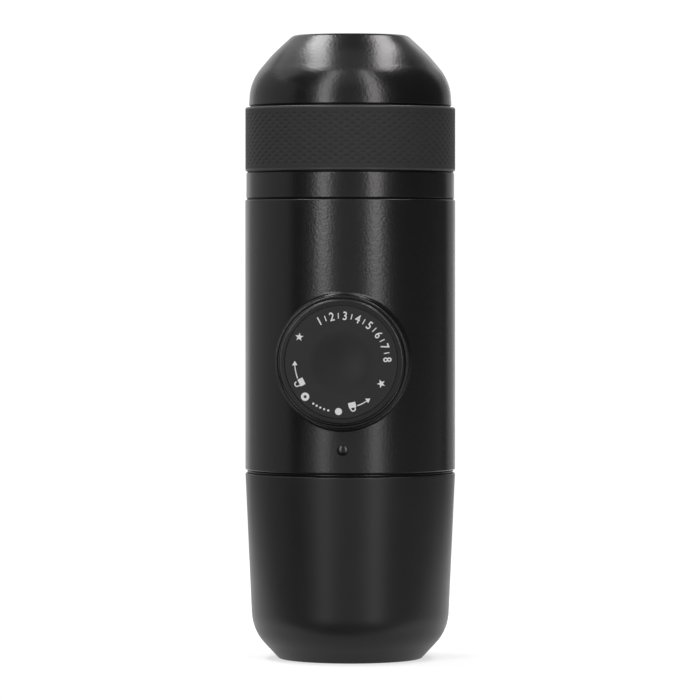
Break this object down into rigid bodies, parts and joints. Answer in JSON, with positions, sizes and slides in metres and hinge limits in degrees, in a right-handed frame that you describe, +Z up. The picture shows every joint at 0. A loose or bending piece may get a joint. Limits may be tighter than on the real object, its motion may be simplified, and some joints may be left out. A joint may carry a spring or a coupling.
{
  "type": "handheld manual espresso maker",
  "caption": "Slim upright hand-pumped espresso maker: water tank below, body with a round piston knob in front, upturned cup with a textured grip band on top.",
  "frame": {"origin": "centre of the tank's flat foot, on the body's axis", "axes": "+Z up along the body's axis, -Y out of the piston knob, +X to the right seen from the knob's side"},
  "size_m": [0.059, 0.0645, 0.175],
  "materials": {
    "tank_plastic": "matt black, fine texture",
    "body_plastic": "satin gloss black",
    "grip_rubber": "matt charcoal, knurled",
    "knob_plastic": "matt black, fine texture",
    "liner_plastic": "translucent smoke grey",
    "chassis_plastic": "black glass-filled",
    "acetal": "natural acetal",
    "silicone_white": "translucent white silicone",
    "silicone_black": "black silicone",
    "stainless": "brushed stainless",
    "spring_steel": "bright stainless wire"
  },
  "bodies": {
    "tank": {"tank_shell": "tank_plastic", "tank_liner": "liner_plastic"},
    "tank_seal": {"tank_gasket": "silicone_white"},
    "main_body": {"body_shell": "body_plastic", "tank_socket": "chassis_plastic", "head_socket": "chassis_plastic", "cup_seal": "silicone_black", "lower_screws": "stainless", "upper_screws": "stainless", "pump_housing": "chassis_plastic", "pump_barrel": "acetal", "barrel_seal": "silicone_black", "barrel_plug": "chassis_plastic", "lock_pins": "stainless", "return_spring": "spring_steel", "inlet_cartridge": "acetal", "inlet_spring": "spring_steel", "outlet_cartridge": "acetal", "outlet_spring": "spring_steel", "inlet_strainer": "acetal", "vent_tube": "acetal", "vent_flap": "silicone_black", "shower_screen": "stainless", "basket_gasket": "silicone_white"},
    "piston_unit": {"piston": "acetal", "piston_rings": "silicone_black", "knob_washer": "stainless", "knob_screw": "stainless"},
    "knob": {"knob_cap": "knob_plastic", "knob_disc": "knob_plastic"},
    "inlet_valve": {"inlet_ball": "stainless"},
    "outlet_valve": {"outlet_ball": "stainless"},
    "basket": {"filter_basket": "stainless"},
    "head_seal": {"head_gasket": "silicone_white"},
    "head": {"outlet_head": "chassis_plastic", "outlet_nozzle": "silicone_black"},
    "scoop_unit": {"scoop": "chassis_plastic"},
    "cup": {"cup_shell": "body_plastic", "cup_band": "grip_rubber"}
  },
  "joints": [
    {"name": "body_lift", "type": "slide", "parent": "tank", "child": "tank_seal", "axis": [0, 0, 1], "range_m": [0, 0.06]},
    {"name": "body_turn", "type": "hinge", "parent": "tank_seal", "child": "main_body", "pos_m": [0, 0, 0.0611], "axis": [0, 0, 1], "range_deg": [0, 1800]},
    {"name": "piston_stroke", "type": "slide", "parent": "main_body", "child": "piston_unit", "axis": [0, -1, 0], "range_m": [0, 0.018], "deforming": ["return_spring"]},
    {"name": "knob_twist", "type": "hinge", "parent": "piston_unit", "child": "knob", "pos_m": [0, -0.03, 0.0841], "axis": [0, -1, 0], "range_deg": [0, 45]},
    {"name": "inlet_lift", "type": "slide", "parent": "main_body", "child": "inlet_valve", "axis": [0, 0, 1], "range_m": [0, 0.0012], "stiffness_N_per_m": 100, "springref_m": -0.002, "deforming": ["inlet_spring"]},
    {"name": "outlet_lift", "type": "slide", "parent": "main_body", "child": "outlet_valve", "axis": [0, 0, 1], "range_m": [0, 0.0012], "stiffness_N_per_m": 100, "springref_m": -0.002, "deforming": ["outlet_spring"]},
    {"name": "basket_lift", "type": "slide", "parent": "main_body", "child": "basket", "axis": [0, 0, 1], "range_m": [0, 0.042]},
    {"name": "head_lift", "type": "slide", "parent": "main_body", "child": "head_seal", "axis": [0, 0, 1], "range_m": [0, 0.084]},
    {"name": "head_turn", "type": "hinge", "parent": "head_seal", "child": "head", "pos_m": [0, 0, 0.1346], "axis": [0, 0, 1], "range_deg": [0, 2520]},
    {"name": "scoop_lift", "type": "slide", "parent": "head", "child": "scoop_unit", "axis": [0, 0, 1], "range_m": [0, 0.04]},
    {"name": "cup_lift", "type": "slide", "parent": "scoop_unit", "child": "cup", "axis": [0, 0, 1], "range_m": [0, 0.06]}
  ],
  "couplings": [
    {"joint": "body_turn", "follows": "body_lift", "rad_per_m": 523.6},
    {"joint": "head_turn", "follows": "head_lift", "rad_per_m": 523.6},
    {"joint": "basket_lift", "follows": "head_lift", "ratio": 0.5}
  ]
}
